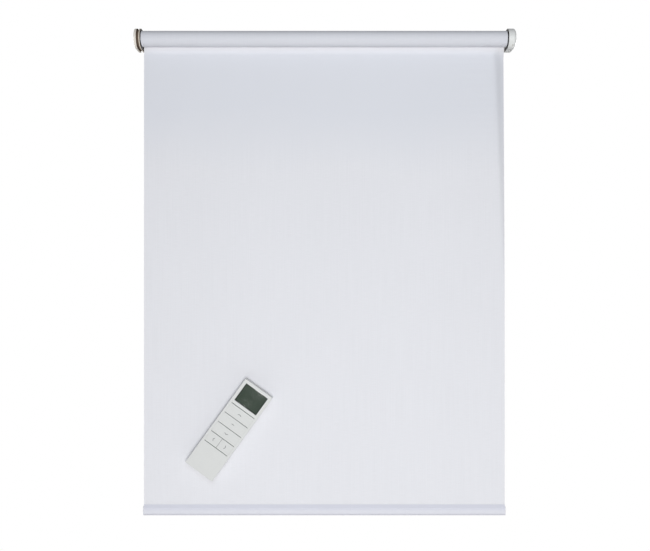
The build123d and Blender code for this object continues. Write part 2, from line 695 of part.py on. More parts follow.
def gearbox():
    """Gearbox barrel with the shaft's bore and an end bush."""
    barrel = rod(CASING_BORE_RADIUS - INNER_CLEARANCE, GEARBOX_LEFT, drive_motor_right() - MOTOR_LENGTH)
    ring = Pos(AXIS_Y, 0) * (Circle(CASING_BORE_RADIUS) - Circle(CASING_BORE_RADIUS - GEARBOX_GROOVE_DEPTH))
    for place in GEARBOX_GROOVE_PLACES:
        start = GEARBOX_LEFT + place
        barrel -= along_x(ring, start, start + GEARBOX_GROOVE_WIDTH)
    return barrel - rod(SHAFT_DIAMETER / 2 + RUNNING_CLEARANCE, GEARBOX_LEFT, GEARBOX_LEFT + SHAFT_SEAT)


def output_shaft():
    """Round in the gearbox, hexagonal in the drive wheel, grooved for the clip."""
    tail = WHEEL_LEFT - CLIP_THICKNESS - SHAFT_TAIL
    hexagon = Pos(AXIS_Y, 0) * RegularPolygon(HEX_ACROSS / 2, 6, major_radius=False)
    shaft = rod(SHAFT_DIAMETER / 2, WHEEL_RIGHT, GEARBOX_LEFT + SHAFT_SEAT - STACK_GAP)
    shaft += along_x(hexagon, tail, WHEEL_RIGHT)
    groove = Pos(AXIS_Y, 0) * (Circle(SHAFT_DIAMETER) - Circle(CLIP_GROOVE_DIAMETER / 2))
    return shaft - along_x(groove, WHEEL_LEFT - CLIP_THICKNESS, WHEEL_LEFT)


def wheel_clip():
    """Open ring in the shaft's groove."""
    ring = Circle(CLIP_DIAMETER / 2) - Circle(CLIP_GROOVE_DIAMETER / 2 + INSERT_CLEARANCE)
    mouth = Pos(0, CLIP_DIAMETER / 2) * Rectangle(CLIP_MOUTH, CLIP_DIAMETER)
    return along_x(Pos(AXIS_Y, 0) * (ring - mouth), WHEEL_LEFT - CLIP_THICKNESS, WHEEL_LEFT)


def drive_wheel():
    """Keyed wheel: rim, hub with a hexagonal bore and spokes."""
    rim_radius = TUBE_BORE_RADIUS - INSERT_CLEARANCE
    inner_radius = CHANNEL_FLOOR - WHEEL_RIM_DEPTH
    wheel = along_x(keyed_section(rim_radius), WHEEL_LEFT, WHEEL_RIGHT)
    window = Circle(inner_radius) - Circle(WHEEL_HUB_DIAMETER / 2)
    for index in range(WHEEL_SPOKES):
        spoke = Rot(0, 0, index * 360 / WHEEL_SPOKES) * Pos(inner_radius / 2, 0)
        window -= spoke * Rectangle(inner_radius, WHEEL_SPOKE_WIDTH)
    wheel -= along_x(Pos(AXIS_Y, 0) * window, WHEEL_LEFT + WHEEL_WEB, WHEEL_RIGHT)
    across = HEX_ACROSS / 2 + INSERT_CLEARANCE
    bore = Pos(AXIS_Y, 0) * RegularPolygon(across, 6, major_radius=False)
    return wheel - along_x(bore, WHEEL_LEFT, WHEEL_RIGHT)


# Hem

def pocket_outline(radius):
    """Teardrop outline round the bar, closing upwards at the weld."""
    reach = BAR_HEIGHT / 2 - BAR_THICKNESS / 2
    apex = HEM_TOP - HEM_WELD
    low = CenterArc((SHEET_MID_Y, BAR_Z - reach), radius, 0, 360)
    high = CenterArc((SHEET_MID_Y, BAR_Z + reach), radius, 0, 360)
    half = radius - BAR_THICKNESS / 2 - BAR_CLEARANCE + WELD_OPENING
    tip = Line((SHEET_MID_Y - half, apex), (SHEET_MID_Y + half, apex))
    return make_hull([low.edge(), high.edge(), tip.edge()])


def hem_pocket():
    """Cloth folded round the bar and welded to itself above it."""
    outer = pocket_outline(POCKET_RADIUS)
    inner = pocket_outline(POCKET_RADIUS - FABRIC_THICKNESS)
    weld_height = HEM_WELD + 2 * WELD_LAP
    weld = Pos(SHEET_MID_Y, HEM_TOP - weld_height / 2) * Rectangle(2 * FABRIC_THICKNESS, weld_height)
    return along_x(outer - inner + weld, -FABRIC_WIDTH / 2, FABRIC_WIDTH / 2)


def bar_section(inset):
    """Section of the flat bar, drawn in by an inset."""
    slot = SlotOverall(BAR_HEIGHT - 2 * inset, BAR_THICKNESS - 2 * inset, rotation=90)
    return Pos(SHEET_MID_Y, BAR_Z) * slot


def hem_bar():
    """Hollow flat aluminium bar."""
    return along_x(bar_section(0) - bar_section(BAR_WALL), -FABRIC_WIDTH / 2, FABRIC_WIDTH / 2)


def hem_end_cap(side):
    """End cap: a flange over the bar's end and a plug inside it."""
    edge = side * FABRIC_WIDTH / 2
    out = edge + side * CAP_FLANGE
    flange = along_x(bar_section(-(POCKET_RADIUS - BAR_THICKNESS / 2)), min(edge, out), max(edge, out))
    outer_face = flange.faces().sort_by(Axis.X, reverse=side > 0)[0]
    flange = fillet(outer_face.edges(), CAP_FLANGE / 2)
    inside = edge - side * CAP_PLUG_LENGTH
    return flange + along_x(bar_section(BAR_WALL + INNER_CLEARANCE), min(edge, inside), max(edge, inside))


# Handset, built in its own frame

def rounded_face(inset, radius):
    """Outline of the handset, drawn in by an inset."""
    return RectangleRounded(HANDSET_WIDTH - 2 * inset, HANDSET_LENGTH - 2 * inset, radius)


def screw_rods(radius, start, end):
    """Round bars along Y at the four screw places."""
    rods = [along_y(Pos(x, z) * Circle(radius), start, end) for x, z in SCREW_PLACES]
    joined = rods[0]
    for extra in rods[1:]:
        joined += extra
    return joined


def key_layout():
    """Name, centre x, centre z and width of each key."""
    rows = [KEYS_TOP - KEY_SLOT - KEY_HEIGHT / 2 - row * KEY_PITCH for row in range(KEY_ROWS)]
    half_width = (KEY_WIDTH - KEY_DIVIDER) / 2
    offset = (half_width + KEY_DIVIDER) / 2
    layout = [(name, 0.0, z, KEY_WIDTH) for name, z in zip(("up_key", "stop_key", "down_key"), rows)]
    layout.append(("previous_key", -offset, rows[-1], half_width))
    layout.append(("next_key", offset, rows[-1], half_width))
    return layout


def handset_front():
    """Front cover with the screen's window, the opening for the keys and four screw bosses."""
    cover = along_y(rounded_face(0, HANDSET_CORNER), FACE_Y, PARTING_Y)
    cover = fillet(cover.faces().sort_by(Axis.Y)[0].edges(), FACE_ROUND)
    cover = chamfer(cover.faces().sort_by(Axis.Y)[-1].edges(), PARTING_GROOVE)
    cover -= along_y(rounded_face(HANDSET_WALL, INNER_CORNER), INNER_FACE_Y, PARTING_Y)
    window = Pos(0, SCREEN_Z) * Rectangle(SCREEN_WIDTH, SCREEN_HEIGHT)
    cover -= along_y(window, FACE_Y - CUT_OVERRUN, INNER_FACE_Y + CUT_OVERRUN)
    opening = Rectangle(KEY_WIDTH + 2 * KEY_SIDE_GAP, KEYS_TOP - KEYS_BOTTOM)
    cover -= along_y(Pos(0, KEYS_MIDDLE) * opening, FACE_Y - CUT_OVERRUN, INNER_FACE_Y + CUT_OVERRUN)
    cover += screw_rods(SCREW_BOSS_DIAMETER / 2, INNER_FACE_Y, BOARD_BACK_Y + SCREW_BOSS_TAIL)
    hole = SCREW_SHANK_DIAMETER / 2 + SCREW_HOLE_SLACK
    return cover - screw_rods(hole, INNER_FACE_Y + SCREW_BOSS_FLOOR, BOARD_BACK_Y + SCREW_BOSS_TAIL)


def door_outline(gap):
    """Outline of the battery door, open at the handset's lower end."""
    height = DOOR_TOP_Z + HALF_LENGTH + gap
    return Pos(0, -HALF_LENGTH + height / 2) * Rectangle(DOOR_WIDTH + 2 * gap, height)


def handset_back():
    """Back shell with screw tubes, the cell's well and the door's recess."""
    shell = along_y(rounded_face(0, HANDSET_CORNER), PARTING_Y, BACK_Y)
    shell = fillet(shell.faces().sort_by(Axis.Y)[-1].edges(), BACK_ROUND)
    ceiling = BACK_Y - HANDSET_WALL
    shell -= along_y(rounded_face(HANDSET_WALL, INNER_CORNER), PARTING_Y, ceiling)
    well_radius = COIN_DIAMETER / 2 + COIN_CLEARANCE
    shell += along_y(Pos(0, COIN_Z) * Circle(well_radius + WELL_WALL), COIN_FRONT_Y, ceiling)
    ledge_height = DOOR_TOP_Z + HALF_LENGTH - HANDSET_WALL
    ledge = Pos(0, DOOR_TOP_Z - ledge_height / 2) * Rectangle(DOOR_WIDTH + 2 * DOOR_LEDGE, ledge_height)
    shell += along_y(ledge, DOOR_IN_Y - HANDSET_WALL, ceiling)
    shell -= along_y(Pos(0, COIN_Z) * Circle(well_radius), COIN_FRONT_Y, BACK_Y)
    shell -= along_y(door_outline(DOOR_GAP), DOOR_IN_Y - DOOR_GAP, BACK_Y)
    tube_start = BOARD_BACK_Y + SCREW_BOSS_TAIL + SCREW_BOSS_GAP
    shell += screw_rods(SCREW_BOSS_DIAMETER / 2, tube_start, ceiling)
    shell -= screw_rods(SCREW_SHANK_DIAMETER / 2 + SCREW_CLEARANCE, tube_start, BACK_Y)
    seat = BACK_Y - SCREW_SINK - SCREW_HEAD_HEIGHT
    return shell - screw_rods(SCREW_HEAD_DIAMETER / 2 + SCREW_CLEARANCE, seat, BACK_Y)


def battery_door():
    """Sliding door with a ribbed grip near its upper end."""
    door = along_y(door_outline(0), DOOR_IN_Y, BACK_Y)
    for index in range(GRIP_RIDGES):
        z = DOOR_TOP_Z - GRIP_FROM_TOP - index * GRIP_PITCH
        door -= along_y(Pos(0, z) * SlotOverall(DOOR_WIDTH / 2, GRIP_WIDTH), BACK_Y - GRIP_DEPTH, BACK_Y)
    return door


def screen_window():
    """Clear pane behind the front cover's window."""
    width = SCREEN_WIDTH + 2 * PANE_MARGIN
    height = SCREEN_HEIGHT + 2 * PANE_MARGIN
    return along_y(Pos(0, SCREEN_Z) * Rectangle(width, height), INNER_FACE_Y, INNER_FACE_Y + PANE_THICKNESS)


def screen_module():
    """Display glass in its frame, between the pane and the board."""
    start = INNER_FACE_Y + PANE_THICKNESS
    module = along_y(Pos(0, SCREEN_Z) * Rectangle(SCREEN_WIDTH, SCREEN_HEIGHT), start, BOARD_FRONT_Y)
    return chamfer(module.faces().sort_by(Axis.Y)[0].edges(), MODULE_EDGE)


def handset_board():
    """Circuit board with clearance holes for the screw bosses."""
    outline = rounded_face(HANDSET_WALL + HANDSET_BOARD_MARGIN, INNER_CORNER)
    board = along_y(outline, BOARD_FRONT_Y, BOARD_BACK_Y)
    board -= screw_rods(SCREW_BOSS_DIAMETER / 2 + BOARD_HOLE_GAP, BOARD_FRONT_Y, BOARD_BACK_Y)
    for (width, length, height), z in ((CHIP_SIZE, CHIP_Z), (RADIO_SIZE, RADIO_Z)):
        board += along_y(Pos(0, z) * Rectangle(width, length), BOARD_BACK_Y, BOARD_BACK_Y + height)
    return board


def key_mat():
    """Silicone mat on the board with a raised pad under each key."""
    start = BOARD_FRONT_Y - MAT_THICKNESS
    height = KEYS_TOP - KEYS_BOTTOM - 2 * MAT_MARGIN
    outline = Pos(0, KEYS_MIDDLE) * RectangleRounded(KEY_WIDTH - 2 * MAT_MARGIN, height, INNER_CORNER)
    mat = along_y(outline, start, BOARD_FRONT_Y)
    for _, x, z, _ in key_layout():
        mat += along_y(Pos(x, z) * Circle(MAT_PAD_DIAMETER / 2), start - MAT_PAD, start)
    return mat


def key(name, x, z, width):
    """Flush key: cap, side lips behind the cover and a plunger over its pad."""
    cap = along_y(Pos(x, z) * Rectangle(width, KEY_HEIGHT), FACE_Y, FACE_Y + KEY_CAP + KEY_LIP_GAP)
    reaches_left = x - width / 2 <= -KEY_WIDTH / 2
    reaches_right = x + width / 2 >= KEY_WIDTH / 2
    left = x - width / 2 - (KEY_LIP if reaches_left else 0)
    right = x + width / 2 + (KEY_LIP if reaches_right else 0)
    lip_start = INNER_FACE_Y + KEY_LIP_GAP
    lip_end = lip_start + KEY_LIP_THICKNESS
    lip = box_between((left, lip_start, z - KEY_HEIGHT / 2), (right, lip_end, z + KEY_HEIGHT / 2))
    plunger_end = BOARD_FRONT_Y - MAT_THICKNESS - MAT_PAD - KEY_TRAVEL - MAT_SPARE
    return cap + lip + along_y(Pos(x, z) * Circle(PLUNGER_DIAMETER / 2), lip_end, plunger_end)


def coin_cell():
    """Round lithium cell in its well."""
    radius = COIN_DIAMETER / 2
    step = COIN_FRONT_Y + COIN_STEP
    can = along_y(Pos(0, COIN_Z) * Circle(radius), step, COIN_FRONT_Y + COIN_THICKNESS)
    return can + along_y(Pos(0, COIN_Z) * Circle(radius - COIN_STEP_INSET), COIN_FRONT_Y, step)


def cell_contacts():
    """Two sprung strips between the board and the cell."""
    strips = []
    for x in (-CONTACT_X, CONTACT_X):
        left = x - CONTACT_WIDTH / 2
        right = x + CONTACT_WIDTH / 2
        riser_z = COIN_Z - CONTACT_THICKNESS
        foot_end = BOARD_BACK_Y + CONTACT_THICKNESS
        tongue_start = COIN_FRONT_Y - CONTACT_THICKNESS
        strip = box_between((left, BOARD_BACK_Y, COIN_Z - CONTACT_REACH), (right, foot_end, COIN_Z))
        strip += box_between((left, BOARD_BACK_Y, riser_z), (right, COIN_FRONT_Y, COIN_Z))
        strip += box_between((left, tongue_start, riser_z), (right, COIN_FRONT_Y, COIN_Z + CONTACT_REACH))
        strips.append(strip)
    return Compound(children=strips)


def handset_screws():
    """Four small screws, their heads sunk in the back shell."""
    screws = []
    top = BACK_Y - SCREW_SINK
    neck = top - SCREW_HEAD_HEIGHT
    cross = Rectangle(CROSS_LENGTH, CROSS_WIDTH) + Rectangle(CROSS_WIDTH, CROSS_LENGTH)
    for x, z in SCREW_PLACES:
        shank = along_y(Pos(x, z) * Circle(SCREW_SHANK_DIAMETER / 2), top - SCREW_LENGTH, neck)
        head = along_y(Pos(x, z) * Circle(SCREW_HEAD_DIAMETER / 2), neck, top)
        screws.append(shank + head - along_y(Pos(x, z) * cross, top - CROSS_DEPTH, top))
    return Compound(children=screws)


# Every piece by its name

pieces = {
    "left_bracket": left_bracket(),
    "right_bracket": right_bracket(),
    "left_cover": left_cover(),
    "right_cover": right_cover(),
    "left_bearing": left_bearing(),
    "motor_mount": motor_mount(),
    "cap_board": cap_board(),
    "charging_socket": charging_socket(),
    "setting_button": setting_button(),
    "idle_plug": idle_plug(),
    "idle_pin": idle_pin(),
    "idle_spring": idle_spring(),
    "roller_tube": roller_tube(),
    "retaining_strip": retaining_strip(),
    "wound_fabric": wound_fabric(),
    "blind_fabric": blind_fabric(),
    "motor_casing": motor_casing(),
    "motor_head": motor_head(),
    "crown_ring": crown_ring(),
    "battery_cells": battery_cells(),
    "motor_board": motor_board(),
    "drive_motor": drive_motor(),
    "gearbox": gearbox(),
    "output_shaft": output_shaft(),
    "wheel_clip": wheel_clip(),
    "drive_wheel": drive_wheel(),
    "hem_pocket": hem_pocket(),
    "hem_bar": hem_bar(),
    "left_end_cap": hem_end_cap(-1),
    "right_end_cap": hem_end_cap(1),
}

handset = {
    "handset_front": handset_front(),
    "handset_back": handset_back(),
    "battery_door": battery_door(),
    "screen_window": screen_window(),
    "screen_module": screen_module(),
    "handset_board": handset_board(),
    "key_mat": key_mat(),
    "coin_cell": coin_cell(),
    "cell_contacts": cell_contacts(),
    "handset_screws": handset_screws(),
}
for layout in key_layout():
    handset[layout[0]] = key(*layout)

for name, piece in handset.items():
    pieces[name] = HANDSET_PLACE * piece

os.makedirs("parts", exist_ok=True)
for name, piece in pieces.items():
    export_step(piece, f"parts/{name}.step")
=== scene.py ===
import json
import math
import random

import bpy
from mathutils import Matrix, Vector


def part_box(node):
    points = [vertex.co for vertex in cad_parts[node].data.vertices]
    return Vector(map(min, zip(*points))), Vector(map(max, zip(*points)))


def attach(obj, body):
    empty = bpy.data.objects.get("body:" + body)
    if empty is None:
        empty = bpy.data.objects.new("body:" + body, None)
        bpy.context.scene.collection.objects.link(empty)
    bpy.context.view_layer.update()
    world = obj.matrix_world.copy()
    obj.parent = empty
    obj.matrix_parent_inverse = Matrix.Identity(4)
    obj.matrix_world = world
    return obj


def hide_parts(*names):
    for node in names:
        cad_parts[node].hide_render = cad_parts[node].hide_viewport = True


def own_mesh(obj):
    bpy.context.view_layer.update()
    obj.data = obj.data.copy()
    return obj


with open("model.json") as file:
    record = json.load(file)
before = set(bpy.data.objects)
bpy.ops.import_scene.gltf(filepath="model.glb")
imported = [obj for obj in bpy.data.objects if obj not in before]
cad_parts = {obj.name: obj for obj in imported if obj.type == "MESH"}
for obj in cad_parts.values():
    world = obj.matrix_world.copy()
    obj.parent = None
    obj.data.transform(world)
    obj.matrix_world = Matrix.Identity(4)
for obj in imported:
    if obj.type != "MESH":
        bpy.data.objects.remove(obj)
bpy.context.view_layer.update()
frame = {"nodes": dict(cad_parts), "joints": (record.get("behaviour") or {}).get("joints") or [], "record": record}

bl_info = {
    "name": "Motorised roller blind",
    "version": (1, 0, 0),
    "blender": (4, 5, 0),
    "location": "View3D > Sidebar > Roller blind",
    "description": "Dresses the packed roller blind: cloth, hem, covers, handset and studio",
    "category": "Object",
}

# Where the camera stood, worked out in the photograph's own frame
PHOTO_WIDTH = 650
PHOTO_HEIGHT = 551
CLOTH_LEFT_PX = 144.0
CLOTH_RIGHT_PX = 504.7
ROLL_MIDDLE_PX = 39.0

# Roller and cloth
JOINTS = {joint["name"]: joint for joint in frame["joints"]}
CLOTH_LOW, CLOTH_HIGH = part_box("blind_fabric")
TUBE_LOW, TUBE_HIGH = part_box("roller_tube")
CLOTH_HALF = CLOTH_HIGH.x
CLOTH_LENGTH = CLOTH_HIGH.z - CLOTH_LOW.z
CLOTH_THICKNESS = CLOTH_HIGH.y - CLOTH_LOW.y
CLOTH_Y = (CLOTH_LOW.y + CLOTH_HIGH.y) / 2
AXIS_Y = (TUBE_LOW.y + TUBE_HIGH.y) / 2
THREAD_PITCH = 0.0009
# From the top of the cloth: where the painted shade near the top fades in
UPPER_SHADE = (0.19, 0.08)
# From the top of the cloth: where the painted light just under the roll fades in
BELOW_ROLL_LIGHT = (0.0245, 0.014)
WRAPS = 2
WRAP_GAP = 0.00005
WRAP_DRIFT = 0.00035
WRAP_DRIFT_WAVES = 3.1

# Hem
HEM_LOW, HEM_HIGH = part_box("hem_pocket")
BAR_LOW, BAR_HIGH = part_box("hem_bar")
HEM_WELD = 0.0025
HEM_RIPPLE = 0.00012
HEM_WAVES = (95, 37)

# Brackets and covers
PLATE_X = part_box("left_bracket")[0].x
INNER_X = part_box("right_cover")[0].x
# Off the inner faces at the plates: where the painted shade on them fades out
INNER_SHADE_DEPTH = (0.00004, 0.00012)
# Outwards from the plate: where the painted shade on the left cover's neck gives way to the rim
NECK_DEPTH = (0.0049, 0.0043)

# Spring of the idle pin
SPRING_LOW, SPRING_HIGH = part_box("idle_spring")
SPRING_WIRE = 0.0006
SPRING_TURNS = 6

# Handset: its tilt, the pane over the display, and the signs on the keys
DOOR_WAY = JOINTS["battery_door_slide"]["axis"]
HANDSET_TILT = math.atan2(-DOOR_WAY[0], -DOOR_WAY[2])
PANE_LOW, PANE_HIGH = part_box("screen_window")
DISPLAY_SIZE = (0.0465, 0.036)
BORDER = 0.0011
BORDER_EDGE = 0.00005
PANE_MARGIN = 0.0005
PANE_GAP = 0.0001
PANE_HAZE = 0.06
SIGN_SPAN = 0.0062
DASH_SPAN = 0.0052
SIGN_STROKE = 0.0008
SIGN_DEPTH = 0.00006
SIGN_SLOPE = 27

# Floor
FLOOR_RADIUS = 1.15
FLOOR_MIDDLE = (0, -0.3, -1.2)
FLOOR_FADE = (0.45, 1.1)

FINISHES = {}


def srgb(*levels):
    """Linear colour of an 8-bit screen colour."""
    parts = [level / 255 for level in levels]
    return tuple(part / 12.92 if part <= 0.04045 else ((part + 0.055) / 1.055) ** 2.4 for part in parts)


def times(tint, *factors):
    """Colour made lighter or darker, by one factor for all or one for each of its parts."""
    factors = factors * 3 if len(factors) == 1 else factors
    return tuple(min(1.0, part * factor) for part, factor in zip(tint, factors))


# Shader arithmetic


class Wire:
    """One socket of a material; arithmetic on it adds Math nodes."""

    def __init__(self, tree, socket):
        self.tree = tree
        self.socket = socket

    def math(self, operation, other=None, swapped=False):
        node = self.tree.nodes.new("ShaderNodeMath")
        node.operation = operation
        values = [other, self] if swapped else [self, other]
        for entry, value in zip(node.inputs, values):
            join(self.tree, entry, value)
        return Wire(self.tree, node.outputs[0])

    def __add__(self, other):
        return self.math("ADD", other)

    def __mul__(self, other):
        return self.math("MULTIPLY", other)

    def __sub__(self, other):
        return self.math("SUBTRACT", other)

    def __rsub__(self, other):
        return self.math("SUBTRACT", other, swapped=True)

    __radd__ = __add__
    __rmul__ = __mul__

    def sine(self):
        return self.math("SINE")

    def absolute(self):
        return self.math("ABSOLUTE")


def join(tree, entry, value):
    """Put a number, a colour or a link on a node's input."""
    if isinstance(value, Wire):
        tree.links.new(value.socket, entry)
    elif value is not None:
        entry.default_value = value


class Finish:
    """A material in the making, with its Principled shader."""

    def __init__(self, name, **constants):
        self.material = bpy.data.materials.new(name)
        self.material.use_nodes = True
        self.tree = self.material.node_tree
        self.shader = self.tree.nodes["Principled BSDF"]
        for socket, value in constants.items():
            self.shader.inputs[socket.replace("_", " ")].default_value = value

    def node(self, kind, settings=None, output=0, **sockets):
        """Add a node, set its settings, then its sockets; return one of its outputs."""
        made = self.tree.nodes.new(kind)
        for key, value in (settings or {}).items():
            setattr(made, key, value)
        for socket, value in sockets.items():
            join(self.tree, made.inputs[socket.replace("_", " ")], value)
        return Wire(self.tree, made.outputs[output])

    def place(self):
        """Object coordinates, in metres."""
        return self.node("ShaderNodeTexCoord", output="Object")

    def axes(self, where):
        """The three parts of a vector."""
        parts = self.tree.nodes.new("ShaderNodeSeparateXYZ")
        self.tree.links.new(where.socket, parts.inputs[0])
        return [Wire(self.tree, output) for output in parts.outputs]

    def noise(self, where, scale, detail=2.0, rough=0.5):
        kind = "ShaderNodeTexNoise"
        return self.node(kind, Vector=where, Scale=scale, Detail=detail, Roughness=rough)

    def stretched(self, where, scale):
        """Coordinates stretched along the axes."""
        return self.node("ShaderNodeMapping", Vector=where, Scale=scale)

    def mix(self, factor, first, second):
        node = self.tree.nodes.new("ShaderNodeMix")
        node.data_type = "RGBA"
        join(self.tree, node.inputs[0], factor)
        join(self.tree, node.inputs[6], (*first, 1.0) if isinstance(first, tuple) else first)
        join(self.tree, node.inputs[7], (*second, 1.0) if isinstance(second, tuple) else second)
        return Wire(self.tree, node.outputs[2])

    def span(self, value, low, high, start, end):
        """Map a range of values onto another."""
        return self.node(
            "ShaderNodeMapRange", Value=value, From_Min=low, From_Max=high, To_Min=start, To_Max=end
        )

    def colour(self, value):
        join(self.tree, self.shader.inputs["Base Color"], value)

    def roughness(self, value):
        join(self.tree, self.shader.inputs["Roughness"], value)

    def bump(self, height, distance, strength):
        node = self.tree.nodes.new("ShaderNodeBump")
        node.inputs["Strength"].default_value = strength
        node.inputs["Distance"].default_value = distance
        join(self.tree, node.inputs["Height"], height)
        self.tree.links.new(node.outputs["Normal"], self.shader.inputs["Normal"])


# Finishes


def coated_cloth(name, tint, hanging=False, hem=False):
    """Coated cloth: fine plain weave, slubs and a soft sheen, laid by the Cloth UV map in metres."""
    f = Finish(name, Sheen_Weight=0.12, Sheen_Roughness=0.5, Specular_IOR_Level=0.25)
    laid = f.node("ShaderNodeUVMap", {"uv_map": "Cloth"})
    across, along, _ = f.axes(laid)
    thread = 2 * math.pi / THREAD_PITCH
    weft = (along * thread).sine().absolute()
    warp = (across * thread).sine().absolute()
    slubs = f.noise(f.stretched(laid, (60, 1400, 1)), 1.0, 3.0)
    streaks = f.noise(f.stretched(laid, (520, 9, 1)), 1.0, 3.0)
    cloudy = f.noise(laid, 7.0, 2.0)
    weave = weft * warp
    shade = f.span(slubs + streaks * 0.7 + cloudy * 0.35, 0.6, 1.45, 0.0, 1.0)
    base = f.mix(shade, times(tint, 0.955), times(tint, 1.03))
    if hanging:
        # Painted shade: the hanging cloth is tinted darker and cooler towards its top
        low, high = (CLOTH_LENGTH - down for down in UPPER_SHADE)
        top_shade = f.span(along + cloudy * 0.08, low, high, 0.0, 1.0)
        # Painted light: a lighter strip of cloth just under the roll
        low, high = (CLOTH_LENGTH - down for down in BELOW_ROLL_LIGHT)
        edge = f.span(along, low, high, 0.0, 1.0)
        base = f.mix(top_shade, base, times(tint, 0.93, 0.945, 0.965))
        base = f.mix(edge, base, times(tint, 1.12))
    if hem:
        # Painted shade on the hem: a darker bluish band over the bar, and a darker line along the bottom fold
        height = f.span(f.axes(f.place())[2], HEM_LOW.z, HEM_HIGH.z, 0.0, 1.0)
        hem_shade = f.span(height, 0.88, 0.8, 0.0, 0.62) - f.span(height, 0.5, 0.36, 0.0, 0.275)
        base = f.mix(hem_shade, base, times(tint, 0.79, 0.805, 0.90))
        base = f.mix(f.span(height, 0.19, 0.07, 0.0, 1.0), base, times(tint, 0.72, 0.715, 0.76))
    f.colour(f.mix(weave * 0.1, base, times(tint, 0.9)))
    f.roughness(f.span(slubs, 0.3, 0.7, 0.72, 0.86))
    f.bump(weave * 0.5 + slubs * 0.6 + streaks * 0.4, 0.00012, 0.35)
    return f.material


def moulded_plastic(name, tint, rough, grain, depth=0.00004, coat=0.0, inner_face_shade=None):
    """Moulded plastic: fine grain and faint flow clouds; when given, painted shade darkens the face at the plate.
    """
    f = Finish(name, Coat_Weight=coat, Coat_Roughness=0.25, Specular_IOR_Level=0.45)
    where = f.place()
    speckle = f.noise(where, grain, 2.0)
    cloud = f.noise(where, 45.0, 3.0)
    shade = f.mix(cloud, times(tint, 0.965), times(tint, 1.02))
    # Painted shade on the face at the plate
    if inner_face_shade:
        edge = f.span(f.axes(where)[0], INNER_X + INNER_SHADE_DEPTH[0], INNER_X + INNER_SHADE_DEPTH[1], 1.0, 0.0)
        shade = f.mix(edge, shade, inner_face_shade)
    f.colour(shade)
    f.roughness(f.span(speckle + cloud, 0.7, 1.3, rough - 0.05, rough + 0.07))
    f.bump(speckle, depth, 0.5)
    return f.material


def necked_cover(name, tint, neck):
    """Cover with a pale rim and painted shade on the darker neck behind it; the rim's lighter tint is partly its
    own cream and partly painted light.
    """
    f = Finish(name, Coat_Roughness=0.25, Specular_IOR_Level=0.4)
    where = f.place()
    reach = f.axes(where)[0]
    speckle = f.noise(where, 1400.0, 2.0)
    # Painted shade: the neck between the rim and the plate is coloured dark brown
    inner = f.span(reach, PLATE_X - NECK_DEPTH[0], PLATE_X - NECK_DEPTH[1], 0.0, 1.0)
    pale = f.mix(f.noise(where, 45.0, 3.0), times(tint, 0.95), tint)
    f.colour(f.mix(inner, pale, neck))
    f.roughness(f.span(speckle, 0.3, 0.7, 0.34, 0.46) + inner * 0.3)
    f.bump(speckle, 0.00004, 0.5)
    return f.material


def painted_steel(name, tint, inner_face_shade):
    """Powder-painted steel: orange peel and a satin gloss; painted shade darkens the plate's inner face."""
    f = Finish(name, Specular_IOR_Level=0.25)
    where = f.place()
    peel = f.noise(where, 900.0, 2.0)
    cloud = f.noise(where, 30.0, 3.0)
    off_face = (f.axes(where)[0].absolute() - INNER_X).absolute()
    paint = f.mix(cloud, times(tint, 0.96), tint)
    # Painted shade: the plates' inner faces are coloured dark
    f.colour(f.mix(f.span(off_face, *INNER_SHADE_DEPTH, 1.0, 0.0), paint, inner_face_shade))
    f.roughness(f.span(cloud, 0.3, 0.7, 0.36, 0.48))
    f.bump(peel, 0.00006, 0.5)
    return f.material


def drawn_metal(name, tint, rough, stretch):
    """Metal with draw lines along one axis."""
    f = Finish(name, Metallic=1.0)
    where = f.place()
    lines = f.noise(f.stretched(where, stretch), 1.0, 4.0, 0.6)
    cloud = f.noise(where, 60.0, 3.0)
    f.colour(f.mix(lines * 0.7 + cloud * 0.3, times(tint, 0.82), tint))
    f.roughness(f.span(lines, 0.25, 0.75, rough - 0.08, rough + 0.1))
    f.bump(lines, 0.00003, 0.4)
    return f.material


def soft_rubber(name, tint):
    """Silicone rubber with a dull, fine grain."""
    f = Finish(name, Specular_IOR_Level=0.3)
    where = f.place()
    grain = f.noise(where, 1200.0, 2.0)
    f.colour(f.mix(f.noise(where, 80.0), times(tint, 0.85), tint))
    f.roughness(f.span(grain, 0.3, 0.7, 0.62, 0.8))
    f.bump(grain, 0.00005, 0.5)
    return f.material


def circuit_board(name):
    """Green solder mask with fine copper runs showing through."""
    f = Finish(name, Coat_Weight=0.4, Coat_Roughness=0.15)
    where = f.place()
    runs = f.node("ShaderNodeTexVoronoi", {"feature": "DISTANCE_TO_EDGE"}, Vector=where, Scale=420.0)
    mask = f.span(runs, 0.02, 0.06, 1.0, 0.0)
    f.colour(f.mix(mask, srgb(24, 78, 48), srgb(58, 128, 78)))
    f.roughness(f.span(f.noise(where, 700.0), 0.3, 0.7, 0.32, 0.45))
    f.bump(mask, 0.00003, 0.6)
    return f.material


def display_face(name):
    """Reflective display, off: dark grey-green with a faint cloud."""
    f = Finish(name, Specular_IOR_Level=0.12)
    where = f.place()
    cloud = f.noise(where, 55.0, 2.0)
    f.colour(f.mix(cloud, srgb(48, 60, 49), srgb(60, 74, 62)))
    f.roughness(f.span(cloud, 0.3, 0.7, 0.2, 0.26))
    return f.material


def handset_axes(f):
    """Places across and along the handset, from the middle of its pane."""
    x, _, z = f.axes(f.place())
    x = x - (PANE_LOW.x + PANE_HIGH.x) / 2
    z = z - (PANE_LOW.z + PANE_HIGH.z) / 2
    turn = (math.cos(HANDSET_TILT), math.sin(HANDSET_TILT))
    return x * turn[0] - z * turn[1], x * turn[1] + z * turn[0]


